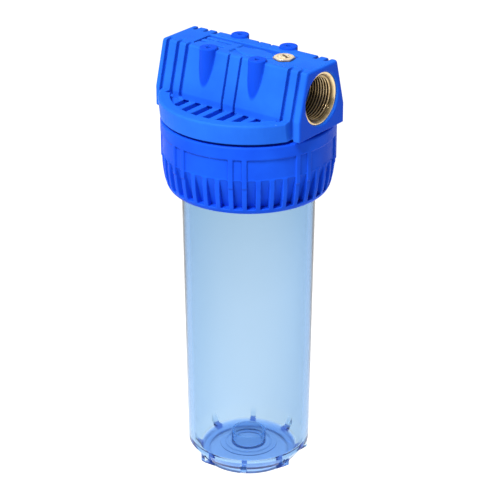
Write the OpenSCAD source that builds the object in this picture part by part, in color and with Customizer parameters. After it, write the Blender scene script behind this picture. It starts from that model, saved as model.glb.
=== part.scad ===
// Ten-inch in-line cartridge filter housing: head, ring nut and clear bowl.
// X runs through the two ports, Z is up, and the foot of the bowl stands on Z = 0.

/* [Head] */
// Length from port face to port face
head_length = 129.5; // [124:0.5:130]
// Width across the straight lower sides
head_width = 55; // [53:1:57]
// Width of the flat top
top_width = 37; // [36:1:39]
// Height of the head above the underside of its flange
head_height = 48.8; // [48:0.2:52]
// Radius of the disc flange
flange_radius = 65.3; // [64.8:0.1:66]
// Height of the disc flange
flange_height = 14.6; // [14:0.2:16]
// Distance of the screw bosses from the middle, along the ports
boss_x = 21.7; // [21:0.1:23]
// Distance of the screw bosses from the middle, across the ports
boss_y = 18.5; // [18:0.1:19]
// Radius of a screw boss
boss_radius = 6.6; // [6:0.1:7]
// Radius of the pilot hole in a screw boss
pilot_radius = 1.8; // [1.5:0.1:2.2]

/* [Ports] */
// Radius of the threaded bore, at the crests of a G1 thread
port_radius = 15.15; // [14.9:0.05:15.3]
// Outer radius of a brass insert
insert_radius = 19.3; // [19.1:0.1:19.6]
// Depth of the inner end of a brass insert below the port face
insert_length = 22; // [21:0.5:23]
// Height of the port axis above the underside of the flange
port_rise = 24.9; // [24.6:0.1:25.4]

/* [Vent] */
// Distance of the vent from the middle, along the ports
vent_x = 33.4; // [33:0.1:34]
// Distance of the vent from the middle, across the ports
vent_y = -3; // [-3.5:0.1:-2.5]
// Width of the vent hexagon across its flats
vent_flats = 13.8; // [13.4:0.1:14.2]

/* [Ring nut] */
// Outer radius of the upper band
ring_radius = 64; // [63.8:0.1:64.6]
// Height of the ring nut
ring_height = 52.6; // [52.4:0.1:53]
// Number of grip pockets, a multiple of eight
pocket_count = 40; // [32:8:40]
// Width of a grip pocket
pocket_width = 6.2; // [5.6:0.1:6.4]
// Pitch of the big thread between ring nut and head
thread_pitch = 8; // [7.8:0.1:8.2]
// Turns of thread on the head and in the ring nut
thread_turns = 2.25; // [2:0.05:2.3]

/* [Bowl] */
// Outer radius just above the foot
bowl_low_radius = 46.5; // [46:0.1:47]
// Outer radius just under the flange
bowl_top_radius = 49.5; // [49.3:0.1:49.6]
// Thickness of the wall
bowl_wall = 4; // [3.5:0.1:4.5]
// Outer radius of the foot ring
foot_radius = 35.5; // [35:0.1:36]
// Length of the cartridge between its two seats
cartridge_length = 250; // [249:0.5:250]

/* [Hidden] */
$fn = 96;
eps = 0.01;

blue = [0.10, 0.36, 0.95];
brass = [0.80, 0.62, 0.34];
rubber = [0.08, 0.08, 0.09];
clear_blue = [0.70, 0.84, 0.95, 0.55];

// Levels, from the foot up
underside_z = 2.5;
floor_z = 8.5;
seat_z = 10;
head_seat_z = seat_z + cartridge_length;
plug_bottom = 250;
flange_top_of_bowl = plug_bottom - 0.3;
bowl_flange_height = 7;
bowl_flange_bottom = flange_top_of_bowl - bowl_flange_height;
shoulder_z = bowl_flange_bottom - 0.2;
ring_bottom = 226.7;
ring_top = ring_bottom + ring_height;
flange_bottom = 281.4;
rim_z = flange_bottom + flange_height;
top_z = flange_bottom + head_height;
port_z = flange_bottom + port_rise;
half_length = head_length / 2;

// Radii of the big thread and of what it closes
plug_radius = 55.6;
plug_thread_crest = 58.2;
nut_thread_root = 58.8;
nut_thread_crest = 56.3;
nut_bore = 56.1;
lip_radius = 50.4;
bowl_flange_radius = 55.2;
seal_radius = 51.3;
seal_thickness = 1.9;
seal_groove_half = 2.1;
seal_groove_depth = 3.7;
chamber_radius = 47.5;
chamber_top = 280.5;
thread_start = 258.5;
thread_embed = 0.6;
thread_root_width = 4.3;
thread_crest_width = 2.4;
thread_runout = 3.5;

// Outside of the ring nut: the fluted zone, then the panels, then the plain band
flute_top = 254;
panel_top = 270;
panel_radius = ring_radius - 1.3;
pocket_floor_low = 55;
pocket_low = ring_bottom + 4.2;
first_pocket = -60;
rib_width = 3.6;

// Foot of the bowl: its ring, the cone above it, and the webs between them
foot_width = 5;
foot_height = 6.5;
cone_low_radius = 40.8;
cone_top_z = 15.4;
floor_radius = 37;
first_web = 32;
web = 4.2;
web_radius = 45.5;
web_low = 7.2;
spigot_top = 19.5;

// Inside the head
passage_radius = 13;
inlet_drop_x = -33;
inlet_drop_radius = 9;
vent_passage = 1.6;
seat_hole = 1.2;
spigot_radius = 13.4;
spigot_bore = 11;
upper_seat_radius = 22;
knife_radius = 17.5;
knife_half = 1.2;

// Vent
vent_shank_radius = 4.86;
vent_shank_length = 9;
vent_hex_height = 1.9;
vent_hex_turn = 37;
vent_screw_radius = 2.5;
vent_screw_shank = 6.7;
vent_screw_gap = 0.08;
vent_head_radius = 4.1;
vent_head_pocket = 4.35;
vent_pocket_depth = 2;
vent_screw_head_height = 1.6;
vent_slot = 1.2;
vent_slot_turn = -22;
vent_seal_radius = 5.65;
vent_seal_thickness = 0.75;
screw_seal_radius = 3;
screw_seal_thickness = 0.45;
// Underside of the bleed screw's head, just above its O-ring
vent_head_z = top_z + vent_hex_height - vent_pocket_depth + 2 * screw_seal_thickness + 0.1;

// Insert: how far it is sunk, the flat ring round its lead-in, and the gap round its mouth
insert_sunk = 0.8;
insert_lip = 2.2;
insert_chamfer = insert_radius - insert_lip - port_radius;
mouth_gap = 0.6;
mouth_gap_depth = 1.2;
insert_groove = 1;
insert_groove_from = 8.5;
insert_groove_to = 12;
insert_seal_thickness = 1.2;
insert_seal_from = 16.6;
insert_seal_to = 19.4;

// Surface of the head
face_groove = 3;
face_groove_depth = 3.4;
face_groove_foot = 4;
face_groove_lip = 2.5;
face_groove_run = 8;
left_grooves = [-59, -49.5, -41];
right_grooves = [49.3, 58];
strip_lines = [-3.3, 7.5];
strip_width = 1.9;
strip_depth = 3;
ledge_pitch = 10.8;
ledge_z = rim_z - 5;
ledge_radius = 56.5;
ledge_groove_width = 5.6;
ledge_groove_z = rim_z - 10.5;
ledge_undercut = 2.5;
// Sunk places in the top, each as its least x and y, its length and its width
channel = [-41.4, 4.4, 80.4, 3.8];
channel_depth = 4.5;
cells = [[-41.4, -11.4, 2.2, 19.6], [-39.5, -1.2, 8.5, 2.4], [-39.5, -7.4, 6.7, 2.4],
         [-28, -1.2, 12.7, 2.4], [-22.2, -10, 7, 2.4]];
cell_depth = 3.4;
plateau = [-8.5, -12.5, 34, 17.5];
plateau_depth = 1.2;
lens_x = 8.5;
lens_y = -3.8;
edge_round = 2;
end_round = 2.2;
boss_rise = 1.8;
pilot_depth = 16;
lens_length = 35;
lens_width = 14.7;
lens_radius = (pow(lens_length / 2, 2) + pow(lens_width / 2, 2)) / lens_width;

// Points of an arc, in degrees
function arc(x, y, r, a0, a1, n = 6) =
    [for (i = [0:n]) let (a = a0 + (a1 - a0) * i / n) [x + r * cos(a), y + r * sin(a)]];

// Corners of one section of a helical ridge, turning the same way for an inner and an outer one
function ridge_section(root, crest, root_w, crest_w) =
    let (s = crest > root ? 0.5 : -0.5)
    [[root, s * root_w], [crest, s * crest_w], [crest, -s * crest_w], [root, -s * root_w]];

// A right-handed helical ridge that starts at height z0
module thread_ridge(root, crest, root_w, crest_w, z0, turns, steps = 40) {
    section = ridge_section(root, crest, root_w, crest_w);
    n = ceil(turns * steps);
    points = [for (i = [0:n]) let (a = 360 * turns * i / n)
        for (p = section) [p[0] * cos(a), p[0] * sin(a), z0 + p[1] + thread_pitch * a / 360]];
    sides = [for (i = [0:n - 1], k = [0:3]) let (m = (k + 1) % 4, b = 4 * i)
        each [[b + k, b + 4 + k, b + m], [b + m, b + 4 + k, b + 4 + m]]];
    ends = [[0, 1, 2], [0, 2, 3], [4 * n, 4 * n + 2, 4 * n + 1], [4 * n, 4 * n + 3, 4 * n + 2]];
    polyhedron(points, concat(sides, ends), convexity = 8);
}

module ring_solid(major, minor) {
    rotate_extrude() translate([major, 0]) circle(minor, $fn = 24);
}

// Places something with its +Z along the outward axis of a port; side is -1 or 1
module at_port(side) {
    translate([side * half_length, 0, port_z]) rotate([0, side * 90, 0]) children();
}

// Section of the head's long block, in Y and Z, drawn in by an inset on its sides and top
module block_section(inset) {
    w = head_width / 2 - inset;
    t = top_width / 2 - inset;
    z = top_z - inset;
    slope = atan2(w - t, top_z - rim_z);
    round_y = t - edge_round * (1 - sin(slope)) / cos(slope);
    polygon(concat(
        [[-w, flange_bottom], [w, flange_bottom], [w, rim_z]],
        arc(round_y, z - edge_round, edge_round, slope, 90),
        arc(-round_y, z - edge_round, edge_round, 90, 180 - slope),
        [[-w, rim_z]]));
}

// The long block, with the upright and upper edges of its port faces rounded
module head_block() {
    hull() for (side = [-1, 1], a = [0:18:90])
        translate([side * (half_length - end_round * (1 - sin(a)) - (side > 0 ? eps : 0)), 0, 0])
            rotate([90, 0, 90]) linear_extrude(eps) block_section(end_round * (1 - cos(a)));
}

// Disc flange with its rim and the ledge sunk inside it
module flange() {
    intersection() {
        difference() {
            rotate_extrude($fn = 144) polygon(concat(
                [[0, flange_bottom], [flange_radius - 1.3, flange_bottom]],
                arc(flange_radius - 1.5, rim_z - 1.5, 1.5, 0, 90),
                [[0, rim_z]]));
            translate([0, 0, ledge_z]) cylinder(h = flange_height, r = ledge_radius);
        }
        cube([head_length, 3 * head_length, 3 * top_z], center = true);
    }
}

// How far from the middle a ledge groove reaches before it meets the rim
function ledge_groove_end(i) =
    let (x = abs(strip_lines[0] + ledge_pitch * i) + ledge_groove_width / 2)
    sqrt(pow(ledge_radius - 1.5, 2) - x * x);

// Grooves across the ledge, cut a little way in under the block
module ledge_grooves() {
    start = head_width / 2 - ledge_undercut;
    for (i = [-3:3], side = [-1, 1])
        translate([strip_lines[0] + ledge_pitch * i - ledge_groove_width / 2,
                   side > 0 ? start : -ledge_groove_end(i), ledge_groove_z])
            cube([ledge_groove_width, ledge_groove_end(i) - start, ledge_z - ledge_groove_z + eps]);
}

// The last groove of each long face runs on down to the underside of the disc
module corner_grooves() {
    for (side = [-1, 1])
        translate([right_grooves[1] - face_groove / 2,
                   side > 0 ? head_width / 2 - face_groove_depth : -head_width, flange_bottom - 1])
            cube([face_groove, head_width / 2 + face_groove_depth, rim_z - flange_bottom + 1]);
}

module plug() {
    translate([0, 0, plug_bottom])
        cylinder(h = flange_bottom - plug_bottom + eps, r = plug_radius, $fn = 144);
    thread_ridge(plug_radius - thread_embed, plug_thread_crest,
                 thread_root_width, thread_crest_width, thread_start, thread_turns);
}

module bosses() {
    for (x = [-boss_x, boss_x], y = [-boss_y, boss_y])
        translate([x, y, rim_z]) cylinder(h = top_z + boss_rise - rim_z, r = boss_radius);
}

// Cuts in the long faces, continued over the top edge
module face_grooves() {
    w = head_width / 2;
    t = top_width / 2;
    for (x = concat(left_grooves, right_grooves), side = [-1, 1])
        translate([x, 0, 0]) rotate([90, 0, 90])
            linear_extrude(face_groove, center = true)
                polygon([[side * (w + 5), rim_z - face_groove_foot],
                         [side * (w - face_groove_depth), rim_z - face_groove_foot],
                         [side * (w - face_groove_depth), rim_z],
                         [side * (t - face_groove_depth), top_z - face_groove_lip],
                         [side * (t - face_groove_run), top_z + eps],
                         [side * (t - face_groove_run), top_z + 5],
                         [side * (w + 5), top_z + 5]]);
    for (x = strip_lines, side = [-1, 1])
        translate([x, 0, 0]) rotate([90, 0, 90])
            linear_extrude(strip_width, center = true)
                polygon([[side * (w + 5), ledge_z],
                         [side * (w - strip_depth), ledge_z],
                         [side * (w - strip_depth), rim_z],
                         [side * (t - strip_depth), top_z],
                         [side * (t - strip_depth), top_z + 5],
                         [side * (w + 5), top_z + 5]]);
}

// Weight-saving pockets, rear channel and the lens-shaped plateau in the top
module top_pockets() {
    h = channel_depth + 10;
    translate([channel[0], channel[1], top_z - channel_depth]) cube([channel[2], channel[3], h]);
    for (cell = cells)
        translate([cell[0], cell[1], top_z - cell_depth]) cube([cell[2], cell[3], h]);
    difference() {
        translate([plateau[0], plateau[1], top_z - plateau_depth]) cube([plateau[2], plateau[3], h]);
        translate([lens_x, lens_y, top_z - 2 * plateau_depth]) intersection() {
            translate([0, lens_radius - lens_width / 2, 0]) cylinder(h = h, r = lens_radius);
            translate([0, lens_width / 2 - lens_radius, 0]) cylinder(h = h, r = lens_radius);
        }
    }
}

module passages() {
    at_port(-1) translate([0, 0, -insert_length - 20])
        cylinder(h = 20 + eps, r = passage_radius);
    translate([inlet_drop_x, 0, chamber_top - 1])
        cylinder(h = port_z - chamber_top, r = inlet_drop_radius);
    at_port(1) translate([0, 0, -half_length])
        cylinder(h = half_length - insert_length + eps, r = passage_radius);
    translate([0, 0, head_seat_z - 6]) cylinder(h = port_z - head_seat_z + 6, r = spigot_bore);
}

module chamber() {
    difference() {
        translate([0, 0, plug_bottom - 1])
            cylinder(h = chamber_top - plug_bottom + 1, r = chamber_radius);
        translate([0, 0, head_seat_z + 2])
            cylinder(h = chamber_top - head_seat_z, r = upper_seat_radius);
        translate([0, 0, head_seat_z - 5])
            cylinder(h = chamber_top - head_seat_z + 5, r = spigot_radius);
        translate([0, 0, head_seat_z]) rotate_extrude()
            polygon([[knife_radius - knife_half, 3], [knife_radius, 0], [knife_radius + knife_half, 3]]);
    }
}

module screw_holes() {
    for (x = [-boss_x, boss_x], y = [-boss_y, boss_y])
        translate([x, y, top_z - pilot_depth]) cylinder(h = 2 * pilot_depth, r = pilot_radius);
}

module vent_hole() {
    translate([vent_x, vent_y, 0]) {
        translate([0, 0, top_z - vent_shank_length])
            cylinder(h = vent_shank_length + eps, r = vent_shank_radius);
        translate([0, 0, port_z]) cylinder(h = top_z - port_z, r = vent_passage);
        translate([0, 0, top_z - 2 * vent_seal_thickness])
            cylinder(h = 3, r = vent_seal_radius + vent_seal_thickness);
    }
}

module head() {
    color(blue) difference() {
        union() {
            head_block();
            flange();
            plug();
            bosses();
        }
        face_grooves();
        top_pockets();
        chamber();
        passages();
        for (side = [-1, 1]) at_port(side) insert_hole();
        ledge_grooves();
        corner_grooves();
        screw_holes();
        vent_hole();
    }
}

// Hole that an insert is pressed into, a little wider at its mouth
module insert_hole() {
    translate([0, 0, -insert_length]) cylinder(h = insert_length + eps, r = insert_radius);
    translate([0, 0, -mouth_gap_depth])
        cylinder(h = mouth_gap_depth + eps, r = insert_radius + mouth_gap);
}

module insert(side) {
    r = insert_radius;
    groove = r - insert_groove;
    seal_floor = r - 2 * insert_seal_thickness;
    color(brass) at_port(side) rotate_extrude() polygon([
        [port_radius, -insert_length], [r, -insert_length],
        [r, -insert_seal_to], [seal_floor, -insert_seal_to],
        [seal_floor, -insert_seal_from], [r, -insert_seal_from],
        [r, -insert_groove_to], [groove, -insert_groove_to],
        [groove, -insert_groove_from], [r, -insert_groove_from],
        [r, -insert_sunk], [port_radius + insert_chamfer, -insert_sunk],
        [port_radius, -insert_sunk - insert_chamfer]]);
}

module insert_seal(side) {
    color(rubber) at_port(side)
        translate([0, 0, -(insert_seal_from + insert_seal_to) / 2])
            ring_solid(insert_radius - insert_seal_thickness, insert_seal_thickness);
}

module inlet_insert() insert(-1);
module outlet_insert() insert(1);
module inlet_insert_seal() insert_seal(-1);
module outlet_insert_seal() insert_seal(1);

module vent_body() {
    bore = vent_screw_radius + vent_screw_gap;
    color(brass) translate([vent_x, vent_y, top_z]) difference() {
        union() {
            rotate(vent_hex_turn)
                cylinder(h = vent_hex_height, r = vent_flats / 2 / cos(30), $fn = 6);
            translate([0, 0, -vent_shank_length])
                cylinder(h = vent_shank_length + eps, r = vent_shank_radius);
        }
        translate([0, 0, -vent_shank_length + 2]) cylinder(h = 30, r = bore);
        translate([0, 0, -vent_shank_length - 1]) cylinder(h = 30, r = seat_hole);
        translate([0, 0, vent_hex_height - vent_pocket_depth])
            cylinder(h = 5, r = vent_head_pocket);
    }
}

module vent_body_seal() {
    color(rubber) translate([vent_x, vent_y, top_z - vent_seal_thickness])
        ring_solid(vent_seal_radius, vent_seal_thickness);
}

module vent_screw() {
    color(brass) translate([vent_x, vent_y, vent_head_z]) difference() {
        union() {
            cylinder(h = vent_screw_head_height, r = vent_head_radius);
            translate([0, 0, -vent_screw_shank])
                cylinder(h = vent_screw_shank + eps, r = vent_screw_radius);
            translate([0, 0, -vent_screw_shank - 1])
                cylinder(h = 1 + eps, r1 = 1, r2 = vent_screw_radius);
        }
        rotate(vent_slot_turn)
            translate([-5, -vent_slot / 2, vent_screw_head_height - 1]) cube([10, vent_slot, 5]);
    }
}

module vent_screw_seal() {
    color(rubber) translate([vent_x, vent_y, vent_head_z - screw_seal_thickness - 0.04])
        ring_solid(screw_seal_radius, screw_seal_thickness);
}

module bowl_seal() {
    color(rubber) translate([0, 0, plug_bottom - 0.2 - seal_thickness])
        ring_solid(seal_radius, seal_thickness);
}

// Rounded lower outside of the ring nut, as radius and height
function nut_round(n = 12) =
    [for (i = [0:n]) let (a = 90 * i / n)
        [57.2 + (panel_radius + 0.5 - 57.2) * sin(a),
         flute_top - (flute_top - ring_bottom) * cos(a)]];

module nut_outside() {
    rotate_extrude($fn = 144) polygon(concat(
        [[lip_radius, ring_bottom]], nut_round(),
        [[panel_radius, flute_top + 0.5], [panel_radius, panel_top - 0.8],
         [ring_radius, panel_top], [ring_radius, ring_top - 0.8],
         [ring_radius - 0.8, ring_top], [lip_radius, ring_top]]));
    for (k = [0:7], s = [-0.5, 0.5])
        rotate(first_pocket + 45 * k + s * 360 / pocket_count)
            translate([ring_radius - 4, -rib_width / 2, flute_top - 6])
                cube([3.9, rib_width, panel_top + 1 - flute_top + 6]);
}

// Grip pocket that deepens downwards from nothing under the panel
module grip_pocket() {
    rotate([90, 0, 0]) linear_extrude(pocket_width, center = true)
        polygon([[panel_radius, flute_top], [pocket_floor_low, pocket_low],
                 [ring_radius + 5, pocket_low], [ring_radius + 5, flute_top]]);
}

module nut_inside() {
    translate([0, 0, ring_bottom - 1]) cylinder(h = ring_height + 2, r = lip_radius);
    translate([0, 0, shoulder_z]) cylinder(h = ring_height, r = nut_bore);
    translate([0, 0, thread_start - thread_runout])
        cylinder(h = ring_height, r = nut_thread_root);
}

module ring_nut() {
    color(blue) {
        difference() {
            nut_outside();
            nut_inside();
            for (k = [0:pocket_count - 1])
                rotate(first_pocket + 360 * k / pocket_count) grip_pocket();
        }
        rotate(180) thread_ridge(nut_thread_root + thread_embed, nut_thread_crest,
                                 thread_root_width - 0.1, thread_crest_width,
                                 thread_start, thread_turns - 0.1);
    }
}

// Outside of the bowl from the middle of its underside to the rim
function bowl_outline() =
    [[0, underside_z], [foot_radius - foot_width, underside_z], [foot_radius - foot_width, 0],
     [foot_radius, 0], [foot_radius, foot_height], [cone_low_radius, foot_height + 0.4],
     [bowl_low_radius, cone_top_z],
     [bowl_top_radius, shoulder_z - 4], [bowl_top_radius, bowl_flange_bottom],
     [bowl_flange_radius, bowl_flange_bottom], [bowl_flange_radius, flange_top_of_bowl]];

// Inside of the bowl from its rim down to the middle of the floor
function bowl_inline() =
    [[bowl_top_radius - bowl_wall, flange_top_of_bowl],
     [bowl_low_radius - bowl_wall, cone_top_z + 1.6], [floor_radius, floor_z],
     [upper_seat_radius, floor_z], [upper_seat_radius, seat_z - 0.8], [0, seat_z - 0.8]];

// Web outside the wall, from the foot ring out under the cone
module foot_web() {
    rotate([90, 0, 0]) linear_extrude(web, center = true)
        polygon([[foot_radius - 1, 0.6], [foot_radius + 0.5, 0.6], [web_radius, web_low],
                 [web_radius, cone_top_z - 0.6], [web_radius - 2, cone_top_z - 0.6],
                 [foot_radius - 1, foot_height - 1]]);
}

module bowl() {
    color(clear_blue) {
        difference() {
            rotate_extrude($fn = 144) polygon(concat(bowl_outline(), bowl_inline()));
            translate([0, 0, flange_top_of_bowl - seal_groove_depth]) difference() {
                cylinder(h = 10, r = seal_radius + seal_groove_half);
                translate([0, 0, -1]) cylinder(h = 12, r = seal_radius - seal_groove_half);
            }
        }
        translate([0, 0, seat_z - 1]) difference() {
            cylinder(h = spigot_top - seat_z + 1, r = spigot_radius - 0.2);
            translate([0, 0, 1]) cylinder(h = spigot_top, r = spigot_bore);
        }
        translate([0, 0, seat_z - 1]) rotate_extrude()
            polygon([[knife_radius - knife_half, 0], [knife_radius + knife_half, 0], [knife_radius, 1]]);
        for (k = [0:7]) rotate(first_web + 45 * k) foot_web();
    }
}

head();
inlet_insert();
outlet_insert();
inlet_insert_seal();
outlet_insert_seal();
vent_body();
vent_body_seal();
vent_screw();
vent_screw_seal();
bowl_seal();
ring_nut();
bowl();
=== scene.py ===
"""Ten-inch in-line cartridge filter housing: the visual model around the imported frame."""
import math

import bmesh
import bpy
from mathutils import Matrix, Vector


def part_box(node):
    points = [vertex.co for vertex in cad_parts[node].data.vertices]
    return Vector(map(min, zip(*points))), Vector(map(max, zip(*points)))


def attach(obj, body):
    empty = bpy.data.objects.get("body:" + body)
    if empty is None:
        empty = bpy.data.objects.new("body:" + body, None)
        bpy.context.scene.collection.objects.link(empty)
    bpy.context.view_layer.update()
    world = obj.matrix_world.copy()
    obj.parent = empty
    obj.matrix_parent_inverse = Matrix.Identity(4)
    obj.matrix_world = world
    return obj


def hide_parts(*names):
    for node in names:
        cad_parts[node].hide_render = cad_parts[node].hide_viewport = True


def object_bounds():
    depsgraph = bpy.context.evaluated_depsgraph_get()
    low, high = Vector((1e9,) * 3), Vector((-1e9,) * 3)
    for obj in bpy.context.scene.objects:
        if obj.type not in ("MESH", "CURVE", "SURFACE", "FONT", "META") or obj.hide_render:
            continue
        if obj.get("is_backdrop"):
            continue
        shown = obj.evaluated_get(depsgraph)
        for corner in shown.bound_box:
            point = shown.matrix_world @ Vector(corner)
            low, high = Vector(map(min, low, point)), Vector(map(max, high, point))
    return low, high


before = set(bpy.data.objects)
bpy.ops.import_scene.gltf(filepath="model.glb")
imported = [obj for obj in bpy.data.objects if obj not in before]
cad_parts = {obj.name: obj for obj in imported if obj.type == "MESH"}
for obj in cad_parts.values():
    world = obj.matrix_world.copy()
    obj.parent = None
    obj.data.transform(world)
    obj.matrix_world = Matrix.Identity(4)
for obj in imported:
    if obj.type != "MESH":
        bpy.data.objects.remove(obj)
cad_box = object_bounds()
MM = 0.001
TURN = 2 * math.pi

# Cell size and smoothing rounds of the remesh that rounds the edges of the blue mouldings
CELL = 0.45 * MM
SMOOTHING_ROUNDS = 4

# The bosses' radius with their rounded foot, for the painted shade on the bosses
BOSS_RADIUS = 6.7 * MM

# G1 pipe thread and the mouth of its brass insert, in millimetres: the face lies deeper than
# the CAD's by MOUTH_DEPTH, and the chamfer leaves a flat lip of MOUTH_LIP
PORT_PITCH = 25.4 / 11
PORT_MAJOR = 33.25 / 2
PORT_MINOR = 30.29 / 2
MOUTH_LIP = 1.3
MOUTH_DEPTH = 1.0

# Vent, in millimetres: a hexagon bush on a round shank, and a slotted screw in its pocket
HEX_TURN = math.radians(37)
HEX_HEIGHT = 1.9
SHANK_RADIUS = 4.86
POCKET_RADIUS = 4.35
POCKET_DEPTH = 2.0
VENT_BORE = 2.58
SCREW_RADIUS = 2.5
SCREW_HEAD_RADIUS = 4.1
SCREW_HEAD_HEIGHT = 1.6
SLOT_TURN = math.radians(-22)
SLOT_WIDTH = 1.8
SLOT_DEPTH = 1.0

# Rise over run of the cone that joins the bowl's foot to its wall
CONE_SLOPE = 8.5 / 5.7

# Gussets round the bowl's foot: where the first one stands about Z, and their thickness and
# outline in millimetres, as (radius, height)
WEBS = 8
FIRST_WEB = math.radians(32)
WEB_WIDTH = 4.2
WEB_OUTLINE = [(34.5, 0.6), (36.0, 0.6), (45.5, 7.2), (45.5, 14.8), (43.5, 14.8), (34.5, 5.5)]


# ---------------------------------------------------------------- mesh helpers

def new_object(name, mesh, material, body, *replaced):
    """Links a finished mesh as a piece that rides on a body and stands for some CAD nodes."""
    piece = bpy.data.objects.new(name, mesh)
    bpy.context.scene.collection.objects.link(piece)
    piece.data.materials.clear()
    piece.data.materials.append(material)
    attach(piece, body)
    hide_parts(*replaced)
    return piece


def mesh_from(name, verts, faces):
    """A mesh with outward normals, from points and faces in metres."""
    mesh = bpy.data.meshes.new(name)
    mesh.from_pydata(verts, [], faces)
    mesh.validate()
    shape = bmesh.new()
    shape.from_mesh(mesh)
    bmesh.ops.remove_doubles(shape, verts=shape.verts, dist=1e-7)
    bmesh.ops.recalc_face_normals(shape, faces=shape.faces)
    shape.to_mesh(mesh)
    shape.free()
    return mesh


def smooth_by_angle(mesh, degrees):
    """Smooth shading, with the edges above this angle left sharp."""
    limit = math.radians(degrees)
    shape = bmesh.new()
    shape.from_mesh(mesh)
    for face in shape.faces:
        face.smooth = True
    for edge in shape.edges:
        edge.smooth = len(edge.link_faces) == 2 and edge.calc_face_angle(0) < limit
    shape.to_mesh(mesh)
    shape.free()
    return mesh


def evaluated(source):
    """The mesh of an object with its modifiers applied; the object itself is removed."""
    bpy.context.view_layer.update()
    depsgraph = bpy.context.evaluated_depsgraph_get()
    mesh = bpy.data.meshes.new_from_object(source.evaluated_get(depsgraph))
    bpy.data.objects.remove(source)
    return mesh


def scratch_object(name, mesh):
    """A linked object for a mesh, to work on with modifiers or to stand in the studio."""
    thing = bpy.data.objects.new(name, mesh)
    bpy.context.scene.collection.objects.link(thing)
    return thing


def softened(node):
    """A copy of a CAD node's mesh with its edges rounded as a moulding's are."""
    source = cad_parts[node]
    copy = scratch_object(node + "_soft", source.data.copy())
    remesh = copy.modifiers.new("remesh", "REMESH")
    remesh.mode = "VOXEL"
    remesh.voxel_size = CELL
    remesh.adaptivity = 0.0
    smooth = copy.modifiers.new("smooth", "SMOOTH")
    smooth.factor = 0.5
    smooth.iterations = SMOOTHING_ROUNDS
    mesh = evaluated(copy)
    for polygon in mesh.polygons:
        polygon.use_smooth = True
    return mesh


def rounded_outline(corners, steps=5):
    """Points of an outline of (radius, height, fillet) corners, with each fillet as a short curve."""
    points = []
    for i, (x, z, fillet) in enumerate(corners):
        here = Vector((x, z))
        before = Vector(corners[i - 1][:2]) - here
        after = Vector(corners[(i + 1) % len(corners)][:2]) - here
        if fillet <= 0:
            points.append((x, z))
            continue
        turn = before.angle(after)
        reach = fillet / math.tan(turn / 2)
        reach = min(reach, 0.45 * before.length, 0.45 * after.length)
        start = here + before.normalized() * reach
        end = here + after.normalized() * reach
        for k in range(steps + 1):
            t = k / steps
            point = (1 - t) ** 2 * start + 2 * t * (1 - t) * here + t ** 2 * end
            points.append((point.x, point.y))
    return points


def lathe(name, outline, segments=192):
    """Turns an outline of (radius, height) in millimetres about Z; it starts and ends on the axis."""
    verts, rings = [], []
    for radius, height in outline:
        if radius < 1e-6:
            rings.append([len(verts)])
            verts.append((0, 0, height * MM))
            continue
        first = len(verts)
        for k in range(segments):
            angle = TURN * k / segments
            verts.append((radius * MM * math.cos(angle), radius * MM * math.sin(angle), height * MM))
        rings.append(list(range(first, first + segments)))
    faces = []
    for low, high in zip(rings, rings[1:]):
        for k in range(segments):
            m = (k + 1) % segments
            if len(low) == 1 and len(high) == 1:
                break
            if len(low) == 1:
                faces.append((low[0], high[k], high[m]))
            elif len(high) == 1:
                faces.append((low[k], low[m], high[0]))
            else:
                faces.append((low[k], low[m], high[m], high[k]))
    return mesh_from(name, verts, faces)


def ring_grid(name, rows, segments, place):
    """A closed skin of rings: each row has a radius and a depth, both functions of the angle.

    place turns a depth and the two coordinates across it, in millimetres, into a point.
    """
    verts = []
    for radius_at, depth_at in rows:
        for k in range(segments):
            angle = TURN * k / segments
            radius = radius_at(angle)
            verts.append(place(depth_at(angle), radius * math.cos(angle), radius * math.sin(angle)))
    faces = []
    count = len(rows)
    for row in range(count):
        following = (row + 1) % count
        for k in range(segments):
            m = (k + 1) % segments
            faces.append((row * segments + k, row * segments + m,
                          following * segments + m, following * segments + k))
    return mesh_from(name, verts, faces)


# ---------------------------------------------------------------- material helpers

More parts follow.
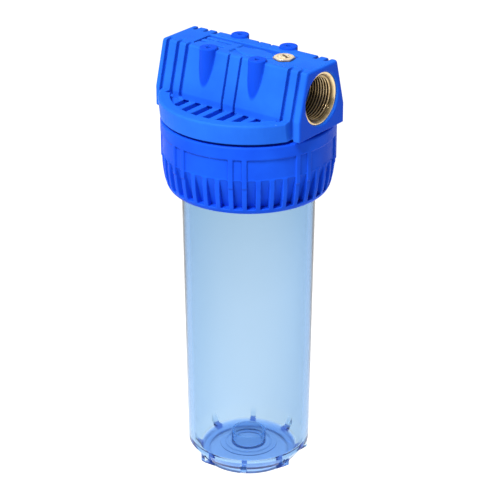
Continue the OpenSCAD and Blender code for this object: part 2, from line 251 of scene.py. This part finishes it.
class Shader:
    """A principled material with a few short calls for its procedural nodes."""

    def __init__(self, name):
        self.material = bpy.data.materials.new(name)
        self.material.use_nodes = True
        self.nodes = self.material.node_tree.nodes
        self.links = self.material.node_tree.links
        self.bsdf = self.nodes["Principled BSDF"]
        self.place = self.nodes.new("ShaderNodeTexCoord").outputs["Object"]

    def set(self, **values):
        for key, value in values.items():
            self.bsdf.inputs[key.replace("_", " ")].default_value = value

    def noise(self, scale, detail=3.0, roughness=0.5, stretch=None):
        """Noise in the row frame; scale is in cycles a metre, stretch divides it along each axis."""
        node = self.nodes.new("ShaderNodeTexNoise")
        node.inputs["Scale"].default_value = scale
        node.inputs["Detail"].default_value = detail
        node.inputs["Roughness"].default_value = roughness
        source = self.place
        if stretch:
            mapping = self.nodes.new("ShaderNodeMapping")
            mapping.inputs["Scale"].default_value = stretch
            self.links.new(self.place, mapping.inputs["Vector"])
            source = mapping.outputs["Vector"]
        self.links.new(source, node.inputs["Vector"])
        return node.outputs["Fac"]

    def ramp(self, value, low, high, start, end):
        """Maps value from start..end onto low..high, both numbers."""
        node = self.nodes.new("ShaderNodeMapRange")
        node.inputs["From Min"].default_value = start
        node.inputs["From Max"].default_value = end
        node.inputs["To Min"].default_value = low
        node.inputs["To Max"].default_value = high
        self.links.new(value, node.inputs["Value"])
        return node.outputs["Result"]

    def above(self, value, start, end):
        """0 up to start and 1 from end."""
        return self.ramp(value, 0.0, 1.0, start, end)

    def below(self, value, start, end):
        """1 up to start and 0 from end."""
        return self.ramp(value, 1.0, 0.0, start, end)

    def mix(self, factor, first, second):
        """Mixes two colours, each a tuple or a socket."""
        node = self.nodes.new("ShaderNodeMix")
        node.data_type = "RGBA"
        self.links.new(factor, node.inputs[0])
        for socket, colour in ((node.inputs[6], first), (node.inputs[7], second)):
            if isinstance(colour, tuple):
                socket.default_value = colour + (1.0,)
            else:
                self.links.new(colour, socket)
        return node.outputs[2]

    def maths(self, operation, first, second):
        """A Math node on two inputs, each a number or a socket."""
        node = self.nodes.new("ShaderNodeMath")
        node.operation = operation
        for socket, value in zip(node.inputs, (first, second)):
            if isinstance(value, (int, float)):
                socket.default_value = value
            else:
                self.links.new(value, socket)
        return node.outputs[0]

    def add(self, first, second):
        return self.maths("ADD", first, second)

    def times(self, first, second):
        return self.maths("MULTIPLY", first, second)

    def larger(self, first, second):
        return self.maths("MAXIMUM", first, second)

    def size_of(self, value):
        return self.maths("ABSOLUTE", value, 0)

    def edges(self, start, end):
        """0 on flat ground and 1 on a convex edge of a finely divided mesh."""
        geometry = self.nodes.new("ShaderNodeNewGeometry")
        return self.above(geometry.outputs["Pointiness"], start, end)

    def creases(self, start, end):
        """0 on flat ground and 1 in a concave corner of a finely divided mesh."""
        geometry = self.nodes.new("ShaderNodeNewGeometry")
        return self.below(geometry.outputs["Pointiness"], start, end)

    def axes(self):
        """The X, Y and Z of the row frame, in metres."""
        split = self.nodes.new("ShaderNodeSeparateXYZ")
        self.links.new(self.place, split.inputs[0])
        return split.outputs

    def distance(self, **line):
        """Metres from a line along one axis, given where it crosses the other two, as in X=0, Y=0."""
        axes, squares = self.axes(), []
        for axis, place in line.items():
            away = self.add(axes[axis], -place)
            squares.append(self.times(away, away))
        return self.maths("POWER", self.add(*squares), 0.5)

    def colour(self, socket):
        self.links.new(socket, self.bsdf.inputs["Base Color"])

    def roughness(self, socket):
        self.links.new(socket, self.bsdf.inputs["Roughness"])

    def bump(self, height, distance, strength=1.0):
        node = self.nodes.new("ShaderNodeBump")
        node.inputs["Distance"].default_value = distance
        node.inputs["Strength"].default_value = strength
        self.links.new(height, node.inputs["Height"])
        self.links.new(node.outputs["Normal"], self.bsdf.inputs["Normal"])


def scaled(colour, red, green=None, blue=None):
    """A colour with each channel multiplied, by one factor or by three, and held within 1."""
    factors = (red, red if green is None else green, red if blue is None else blue)
    return tuple(min(1.0, channel * factor) for channel, factor in zip(colour, factors))


def moulded_blue(name, lit, deep, rough, bosses=(), end=None):
    """Injection-moulded blue plastic: mottling, flow streaks, grain, scuffed edges, painted shade in its
    concave corners.

    The tops and sides of the bosses, given by their x and y in metres, get a painted shade,
    deeper in colour. So do the faces across the X axis at the distance end, if it is given.
    """
    shader = Shader(name)
    mottle = shader.above(shader.noise(38, 4, 0.55), 0.32, 0.68)
    flow = shader.above(shader.noise(26, 3, 0.5, (1.0, 1.0, 0.18)), 0.35, 0.65)
    edges = shader.edges(0.53, 0.62)
    streaked = shader.mix(shader.times(flow, 0.16), shader.mix(mottle, deep, lit), scaled(lit, 1.12))
    scuff_blue = (min(1.0, lit[0] + 0.10), min(1.0, lit[1] + 0.16), 1.0)
    skin = shader.mix(shader.times(edges, 0.35), streaked, scuff_blue)
    # Painted shade: a deeper blue on the bosses and on the end faces, standing in for the shade they get
    painted_shade_masks = [shader.below(shader.distance(X=x, Y=y), BOSS_RADIUS, BOSS_RADIUS + 0.6 * MM)
                for x, y in bosses]
    if end:
        across = shader.size_of(shader.axes()["X"])
        painted_shade_masks.append(shader.above(across, end - 1.0 * MM, end - 0.1 * MM))
    for place in painted_shade_masks:
        skin = shader.mix(shader.times(place, 0.75), skin, scaled(deep, 0.2, 0.48, 0.98))
    # Painted shade: dark blue in concave corners and narrow recesses, where shade falls
    painted_groove_shade = shader.times(shader.creases(0.44, 0.49), 0.85)
    shader.colour(shader.mix(painted_groove_shade, skin, scaled(deep, 0.1, 0.12, 0.34)))
    worn = shader.ramp(shader.noise(240, 5, 0.6), rough - 0.05, rough + 0.07, 0.3, 0.7)
    shader.roughness(shader.add(worn, shader.times(edges, 0.05)))
    grain = shader.add(shader.times(shader.noise(2600, 2, 0.5), 0.5), shader.noise(160, 3, 0.5))
    shader.bump(grain, 0.12 * MM, 0.35)
    shader.set(Specular_IOR_Level=0.03, IOR=1.49)
    return shader.material


def thread_shadow(shader, centre):
    """0 on a port's face and thread crests, 1 in its thread roots and far down its bore."""
    radius, along = shader.distance(Y=centre.y, Z=centre.z), shader.size_of(shader.axes()["X"])
    root = shader.above(radius, (PORT_MINOR + 0.205) * MM, 16.3 * MM)
    past_mouth = shader.below(along, 61.2 * MM, 62.6 * MM)
    deep = shader.ramp(along, 0.9, 0.0, 46 * MM, 58 * MM)
    return shader.larger(shader.times(root, past_mouth), deep)


def vent_shadow(shader, centre):
    """0 on the top of the vent, 1 in its slot, its pocket, on its chamfer and down its sides."""
    axes = shader.axes()
    low = shader.below(axes["Z"], vent_high.z - 1.2 * MM, vent_high.z - 0.6 * MM)
    radius = shader.distance(X=centre.x, Y=centre.y)
    rim = shader.ramp(radius, 0.0, 0.75, 6.8 * MM, 7.8 * MM)
    from_slot = shader.size_of(shader.add(
        shader.times(shader.add(axes["X"], -centre.x), -math.sin(SLOT_TURN)),
        shader.times(shader.add(axes["Y"], -centre.y), math.cos(SLOT_TURN))))
    half = SLOT_WIDTH / 2
    slot = shader.times(
        shader.below(from_slot, (half + 0.05) * MM, (half + 0.15) * MM),
        shader.below(radius, (SCREW_HEAD_RADIUS + 0.1) * MM, (SCREW_HEAD_RADIUS + 0.2) * MM))
    return shader.larger(shader.larger(low, rim), slot)


def machined_brass(name, centre, axis, bright, tarnished, rough, metallic, shadow):
    """Turned brass with fine tool rings about an axis, warm tarnish, and painted shade in its recesses.
    """
    shader = Shader(name)
    shift = shader.nodes.new("ShaderNodeMapping")
    shift.inputs["Location"].default_value = [-c for c in centre]
    shader.links.new(shader.place, shift.inputs["Vector"])
    wave = shader.nodes.new("ShaderNodeTexWave")
    wave.wave_type = "RINGS"
    wave.rings_direction = axis
    wave.inputs["Scale"].default_value = 900
    wave.inputs["Distortion"].default_value = 0.6
    wave.inputs["Detail"].default_value = 2
    shader.links.new(shift.outputs["Vector"], wave.inputs["Vector"])
    tarnish = shader.above(shader.noise(170, 5, 0.6), 0.42, 0.72)
    metal = shader.mix(tarnish, bright, tarnished)
    rings = shader.mix(shader.times(wave.outputs["Fac"], 0.12), metal, scaled(bright, 1.15))
    crests = shader.mix(shader.times(shader.edges(0.52, 0.60), 0.6), rings, (1.0, 0.86, 0.62))
    # Painted shade: dark brown where the shadow mask is 1, in thread roots, down the bore and in the
    # vent's slot, pocket and sides
    painted_recess_shade = shader.times(shadow(shader, centre), 0.88)
    shader.colour(shader.mix(painted_recess_shade, crests, scaled(tarnished, 0.16)))
    shader.roughness(shader.ramp(shader.noise(420, 4, 0.6), rough - 0.07, rough + 0.09, 0.3, 0.7))
    shader.bump(shader.add(wave.outputs["Fac"], shader.noise(900, 3, 0.5)), 0.02 * MM, 0.35)
    shader.set(Metallic=metallic)
    return shader.material


def clear_plastic(name):
    """Clear blue-tinted moulding: deeper at its thick foot, painted shade at the top of its wall, faint
    flow lines and soft ripples.
    """
    shader = Shader(name)
    radius, height = shader.distance(X=0, Y=0), shader.axes()["Z"]
    cloud = shader.above(shader.noise(14, 3, 0.5, (1.0, 1.0, 0.25)), 0.3, 0.7)
    cloudy = shader.mix(cloud, (0.83, 0.87, 0.88), (0.87, 0.90, 0.91))
    # Painted shade: the wall is tinted darker towards its top, under the ring nut
    wall = shader.mix(shader.above(height, 0.15, 0.24), cloudy, (0.765, 0.83, 0.85))
    # The thick floor inside the foot
    disc = shader.times(shader.below(radius, 36.2 * MM, 37.0 * MM),
                        shader.below(height, 10.2 * MM, 11.0 * MM))
    # The gussets: what lies under the cone or outside the foot ring, low down
    from_cone = shader.maths("SUBTRACT", height, shader.times(radius, CONE_SLOPE))
    under = shader.larger(shader.below(from_cone, -54.9 * MM, -54.3 * MM),
                          shader.above(radius, 35.8 * MM, 36.1 * MM))
    webs = shader.times(under, shader.below(height, 5.8 * MM, 6.4 * MM))
    floor = shader.mix(disc, wall, (0.50, 0.68, 1.0))
    shader.colour(shader.mix(webs, floor, (0.05, 0.11, 0.46)))
    satin = shader.ramp(shader.noise(300, 4, 0.6), 0.02, 0.07, 0.35, 0.7)
    shader.roughness(shader.add(satin, shader.times(shader.larger(disc, webs), 0.32)))
    shader.bump(shader.noise(45, 2, 0.4, (1.0, 1.0, 0.3)), 0.3 * MM, 0.25)
    shader.set(Transmission_Weight=1.0, IOR=1.2)
    tint = shader.nodes.new("ShaderNodeVolumeAbsorption")
    tint.inputs["Color"].default_value = (0.10, 0.49, 0.84, 1.0)
    tint.inputs["Density"].default_value = 85.0
    output = shader.nodes["Material Output"]
    shader.links.new(tint.outputs["Volume"], output.inputs["Volume"])
    return shader.material


def seal_rubber(name):
    """Black moulded rubber with a dusty bloom and a fine matt grain."""
    shader = Shader(name)
    bloom = shader.above(shader.noise(220, 4, 0.6), 0.4, 0.75)
    shader.colour(shader.mix(bloom, (0.012, 0.012, 0.014), (0.045, 0.045, 0.05)))
    shader.roughness(shader.ramp(shader.noise(500, 3, 0.5), 0.5, 0.75, 0.3, 0.7))
    shader.bump(shader.noise(3000, 2, 0.5), 0.05 * MM, 0.5)
    return shader.material


# ---------------------------------------------------------------- places, from the frame

def node_centre(node):
    """Middle of a CAD node's box, in metres."""
    low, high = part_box(node)
    return (Vector(low) + Vector(high)) / 2


port_centre = node_centre("outlet_insert")
vent_centre = node_centre("vent_body")
vent_low, vent_high = (Vector(corner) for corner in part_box("vent_body"))
screw_low, screw_high = (Vector(corner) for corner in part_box("vent_screw"))

boss_places = [(x, y) for x in (-21.7 * MM, 21.7 * MM) for y in (-18.5 * MM, 18.5 * MM)]
head_blue = moulded_blue("head_blue", lit=(0.017, 0.142, 0.73), deep=(0.013, 0.114, 0.66), rough=0.38,
                         bosses=boss_places, end=64.75 * MM)
nut_blue = moulded_blue("nut_blue", lit=(0.0085, 0.090, 0.74), deep=(0.006, 0.068, 0.65), rough=0.38)
port_brass = machined_brass("port_brass", port_centre, "X", bright=(0.95, 0.73, 0.41),
                            tarnished=(0.58, 0.37, 0.15), rough=0.28, metallic=1.0,
                            shadow=thread_shadow)
vent_brass = machined_brass("vent_brass", vent_centre, "Z", bright=(1.0, 0.86, 0.62),
                            tarnished=(0.80, 0.54, 0.28), rough=0.26, metallic=0.4,
                            shadow=vent_shadow)
bowl_clear = clear_plastic("bowl_clear")
rubber = seal_rubber("seal_rubber")


# ---------------------------------------------------------------- the mouldings

def make_moulding(node, material):
    """The head or the ring nut, whose body has the node's own name."""
    piece = new_object(node + "_moulding", softened(node), material, node, node)


def bowl_outline():
    """Section of the bowl in millimetres, from the middle of its underside round to its floor.

    Each corner is (radius, height, fillet). The outside has the foot ring, the cone and the
    flange, and the inside has the floor with the cartridge's seat and spigot.
    """
    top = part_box("bowl")[1][2] / MM
    flange = top - 7.0
    outside = [(0, 2.5, 0), (30.5, 2.5, 0.5), (30.5, 0, 0.5), (35.5, 0, 0.8), (35.5, 6.5, 0.5),
               (40.8, 6.9, 1.2), (46.5, 15.4, 2.0), (49.5, flange - 4.2, 0.5), (49.5, flange, 0.3),
               (55.2, flange, 0.6), (55.2, top, 0.6)]
    groove = [(53.4, top, 0.2), (53.4, top - 3.7, 0.3), (49.2, top - 3.7, 0.3), (49.2, top, 0.2)]
    inside = [(45.5, top, 0.6), (42.5, 17.0, 3.0), (37.0, 8.5, 1.0), (22.0, 8.5, 0.3),
              (22.0, 9.2, 0.3), (18.7, 9.2, 0.3), (17.5, 10.0, 0.3), (16.3, 9.2, 0.3),
              (13.2, 9.2, 0.6), (13.2, 19.5, 1.0), (11.0, 19.5, 1.0), (11.0, 10.0, 0.6), (0, 10.0, 0)]
    return rounded_outline(outside + groove + inside)


def slab(verts, faces, angle, outline, width):
    """Adds an upright slab of an outline of (radius, height) in millimetres, at an angle about Z."""
    turn = Matrix.Rotation(angle, 3, "Z")
    first, count = len(verts), len(outline)
    for y in (-width / 2, width / 2):
        verts += [turn @ Vector((radius, y, height)) * MM for radius, height in outline]
    faces.append(tuple(first + i for i in reversed(range(count))))
    faces.append(tuple(first + count + i for i in range(count)))
    for i in range(count):
        k = (i + 1) % count
        faces.append((first + i, first + k, first + count + k, first + count + i))


def make_bowl():
    """The turned bowl with its gussets joined on, as one closed skin."""
    verts, faces = [], []
    for k in range(WEBS):
        slab(verts, faces, FIRST_WEB + TURN * k / WEBS, WEB_OUTLINE, WEB_WIDTH)
    webs = scratch_object("webs", mesh_from("webs", verts, faces))
    body = scratch_object("bowl_body", lathe("bowl_body", bowl_outline()))
    union = body.modifiers.new("union", "BOOLEAN")
    union.operation = "UNION"
    union.object = webs
    union.solver = "EXACT"
    mesh = smooth_by_angle(evaluated(body), 38)
    bpy.data.objects.remove(webs)
    piece = new_object("bowl_moulding", mesh, bowl_clear, "bowl", "bowl")


# ---------------------------------------------------------------- the brass

def constant(value):
    """A row's radius or depth that is the same at every angle."""
    return lambda angle: value


def thread_radius(depth, angle):
    """Radius of the internal pipe thread at a depth below the port face, with rounded flanks."""
    phase = (depth / PORT_PITCH + angle / TURN) % 1.0
    wave = 0.5 - 0.5 * math.cos(TURN * phase)
    sharp = wave * wave * (3 - 2 * wave)
    return PORT_MINOR + (PORT_MAJOR - PORT_MINOR) * sharp


def make_insert(node, side):
    """A brass insert with its helical thread; side is the sign of its outward direction."""
    low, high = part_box(node)
    length = (high[0] - low[0]) / MM
    face = (high[0] if side > 0 else low[0])
    centre = node_centre(node)
    outer = (high[2] - low[2]) / 2 / MM
    steps = int(length / 0.2)
    mouth_radius = outer - MOUTH_LIP

    rows = [(constant(outer), constant(length)), (constant(outer), constant(MOUTH_DEPTH + 0.2)),
            (constant(outer - 0.2), constant(MOUTH_DEPTH)),
            (constant(mouth_radius + 0.1), constant(MOUTH_DEPTH))]
    for k in range(steps + 1):
        depth = MOUTH_DEPTH + 0.1 + (length - MOUTH_DEPTH - 0.1) * k / steps
        mouth = mouth_radius + MOUTH_DEPTH - depth
        rows.append((lambda angle, d=depth, m=mouth: max(thread_radius(d, angle), m), constant(depth)))

    def place(depth, y, z):
        return (face - side * depth * MM, centre.y + y * MM, centre.z + z * MM)

    mesh = smooth_by_angle(ring_grid(node + "_threaded", rows, 160, place), 50)
    piece = new_object(node + "_threaded", mesh, port_brass, "head", node)


def make_vent_body():
    """Hexagon bush: chamfered corners, and a counterbore round the bleed screw."""
    corner_reach = max(math.sin(HEX_TURN + k * TURN / 6) for k in range(6))
    flats = (vent_high.y - vent_low.y) / 2 / MM / corner_reach * math.cos(TURN / 12)
    height = (vent_high.z - vent_low.z) / MM
    hex_low = height - HEX_HEIGHT
    pocket_floor = height - POCKET_DEPTH

    def hexagon(inset, limit):
        def radius(angle):
            across = ((angle - HEX_TURN) % (TURN / 6)) - TURN / 12
            return min((flats - inset) / math.cos(across), limit)
        return radius

    rows = [(constant(VENT_BORE), constant(0)), (constant(SHANK_RADIUS - 0.4), constant(0)),
            (constant(SHANK_RADIUS), constant(0.4)), (constant(SHANK_RADIUS), constant(hex_low)),
            (hexagon(0.15, 99), constant(hex_low)), (hexagon(0, 99), constant(hex_low + 0.15)),
            (hexagon(0, 99), constant(height - 0.6)), (hexagon(0, flats + 0.35), constant(height - 0.3)),
            (hexagon(0, flats - 0.05), constant(height - 0.06)),
            (hexagon(0.2, flats - 0.3), constant(height)),
            (constant(POCKET_RADIUS + 0.2), constant(height)),
            (constant(POCKET_RADIUS), constant(height - 0.2)),
            (constant(POCKET_RADIUS), constant(pocket_floor)),
            (constant(VENT_BORE), constant(pocket_floor))]

    def place(z, x, y):
        return (vent_centre.x + x * MM, vent_centre.y + y * MM, vent_low.z + z * MM)

    mesh = smooth_by_angle(ring_grid("vent_hexagon", rows, 144, place), 30)
    piece = new_object("vent_hexagon", mesh, vent_brass, "head", "vent_body")


def make_vent_screw():
    """Slotted bleed screw with a domed head."""
    height = (screw_high.z - screw_low.z) / MM
    head = height - SCREW_HEAD_HEIGHT
    outline = rounded_outline([(0, 0, 0), (1.0, 0, 0.2), (SCREW_RADIUS, 1.0, 0.2),
                               (SCREW_RADIUS, head, 0.1), (SCREW_HEAD_RADIUS, head, 0.2),
                               (SCREW_HEAD_RADIUS, height - 0.45, 0.4), (2.6, height - 0.02, 1.0),
                               (0, height, 0)])
    body = scratch_object("screw_body", lathe("screw_body", outline, 96))
    verts, faces = [], []
    slot_floor, reach = height - SLOT_DEPTH, 5
    cut_outline = [(-reach, slot_floor), (reach, slot_floor), (reach, height + 3), (-reach, height + 3)]
    slab(verts, faces, SLOT_TURN, cut_outline, SLOT_WIDTH)
    slot = scratch_object("slot", mesh_from("slot", verts, faces))
    cut = body.modifiers.new("cut", "BOOLEAN")
    cut.operation = "DIFFERENCE"
    cut.object = slot
    cut.solver = "EXACT"
    mesh = smooth_by_angle(evaluated(body), 30)
    bpy.data.objects.remove(slot)
    mesh.transform(Matrix.Translation((vent_centre.x, vent_centre.y, screw_low.z)))
    piece = new_object("bleed_screw", mesh, vent_brass, "vent_screw", "vent_screw")


def dress_seals():
    """Puts rubber on the CAD's own seals, which stay as they are."""
    for name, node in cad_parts.items():
        if name.endswith("seal"):
            node.data.materials.clear()
            node.data.materials.append(rubber)


make_moulding("head", head_blue)
make_moulding("ring_nut", nut_blue)
make_bowl()
make_insert("outlet_insert", 1)
make_insert("inlet_insert", -1)
make_vent_body()
make_vent_screw()
dress_seals()


# ---------------------------------------------------------------- studio

FLOOR_HEIGHT = -26 * MM


def make_floor():
    """A white light table, brightest under the object, which keeps the shadow faint.

    It lies below the height the bowl comes down to when the ring nut is undone.
    """
    shader = Shader("studio_floor")
    shader.colour(shader.mix(shader.noise(3, 2), (0.10, 0.10, 0.10), (0.12, 0.12, 0.12)))
    glow = shader.ramp(shader.distance(X=0, Y=0), 1.20, 0.95, 0.05, 0.50)
    shader.set(Roughness=0.7, Specular_IOR_Level=0.2)
    shader.bsdf.inputs["Emission Color"].default_value = (1.0, 1.0, 1.0, 1.0)
    shader.links.new(glow, shader.bsdf.inputs["Emission Strength"])
    corners = [(x, y, FLOOR_HEIGHT) for x, y in ((-6, -6), (6, -6), (6, 6), (-6, 6))]
    mesh = mesh_from("floor", corners, [(0, 1, 2, 3)])
    floor = scratch_object("floor", mesh)
    floor.data.materials.append(shader.material)
    floor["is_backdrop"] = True


def towards(azimuth, elevation):
    """Unit vector to a place in degrees, from the front round to the right and up."""
    turn, rise = math.radians(azimuth), math.radians(elevation)
    return Vector((math.sin(turn) * math.cos(rise), -math.cos(turn) * math.cos(rise), math.sin(rise)))


def make_sun(name, azimuth, elevation, spread, strength):
    """An even soft light from far away, so the floor is lit the same all over."""
    lamp = bpy.data.lights.new(name, "SUN")
    lamp.angle = math.radians(spread)
    lamp.energy = strength
    light = bpy.data.objects.new(name, lamp)
    light.rotation_euler = (-towards(azimuth, elevation)).to_track_quat("-Z", "Y").to_euler()
    bpy.context.scene.collection.objects.link(light)


def make_world():
    """A plain, dim white surround."""
    world = bpy.data.worlds.new("studio")
    world.use_nodes = True
    background = world.node_tree.nodes["Background"]
    background.inputs["Color"].default_value = (1.0, 1.0, 1.0, 1.0)
    background.inputs["Strength"].default_value = 0.30
    bpy.context.scene.world = world


def make_camera():
    """A long lens from the front right and above, aimed at the middle of the housing."""
    away, distance, aim = towards(37.2, 24.67), 1.4438, Vector((0, 0, 0.1729))
    lens = bpy.data.cameras.new("camera")
    lens.lens = 139.46
    lens.sensor_width = 36
    lens.shift_x, lens.shift_y = 0.0027, -0.0013
    camera = bpy.data.objects.new("camera", lens)
    camera.location = aim + distance * away
    camera.rotation_euler = (-away).to_track_quat("-Z", "Y").to_euler()
    bpy.context.scene.collection.objects.link(camera)
    bpy.context.scene.camera = camera


make_floor()
make_world()
make_sun("key", azimuth=4, elevation=55, spread=22, strength=4.5)
make_sun("side", azimuth=-60, elevation=30, spread=10, strength=0.5)
make_camera()
bpy.context.scene.view_settings.view_transform = "Standard"

boxes = {"cad": cad_box, "visual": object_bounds()}
{key: [[float(c) for c in corner] for corner in box] for key, box in boxes.items()}
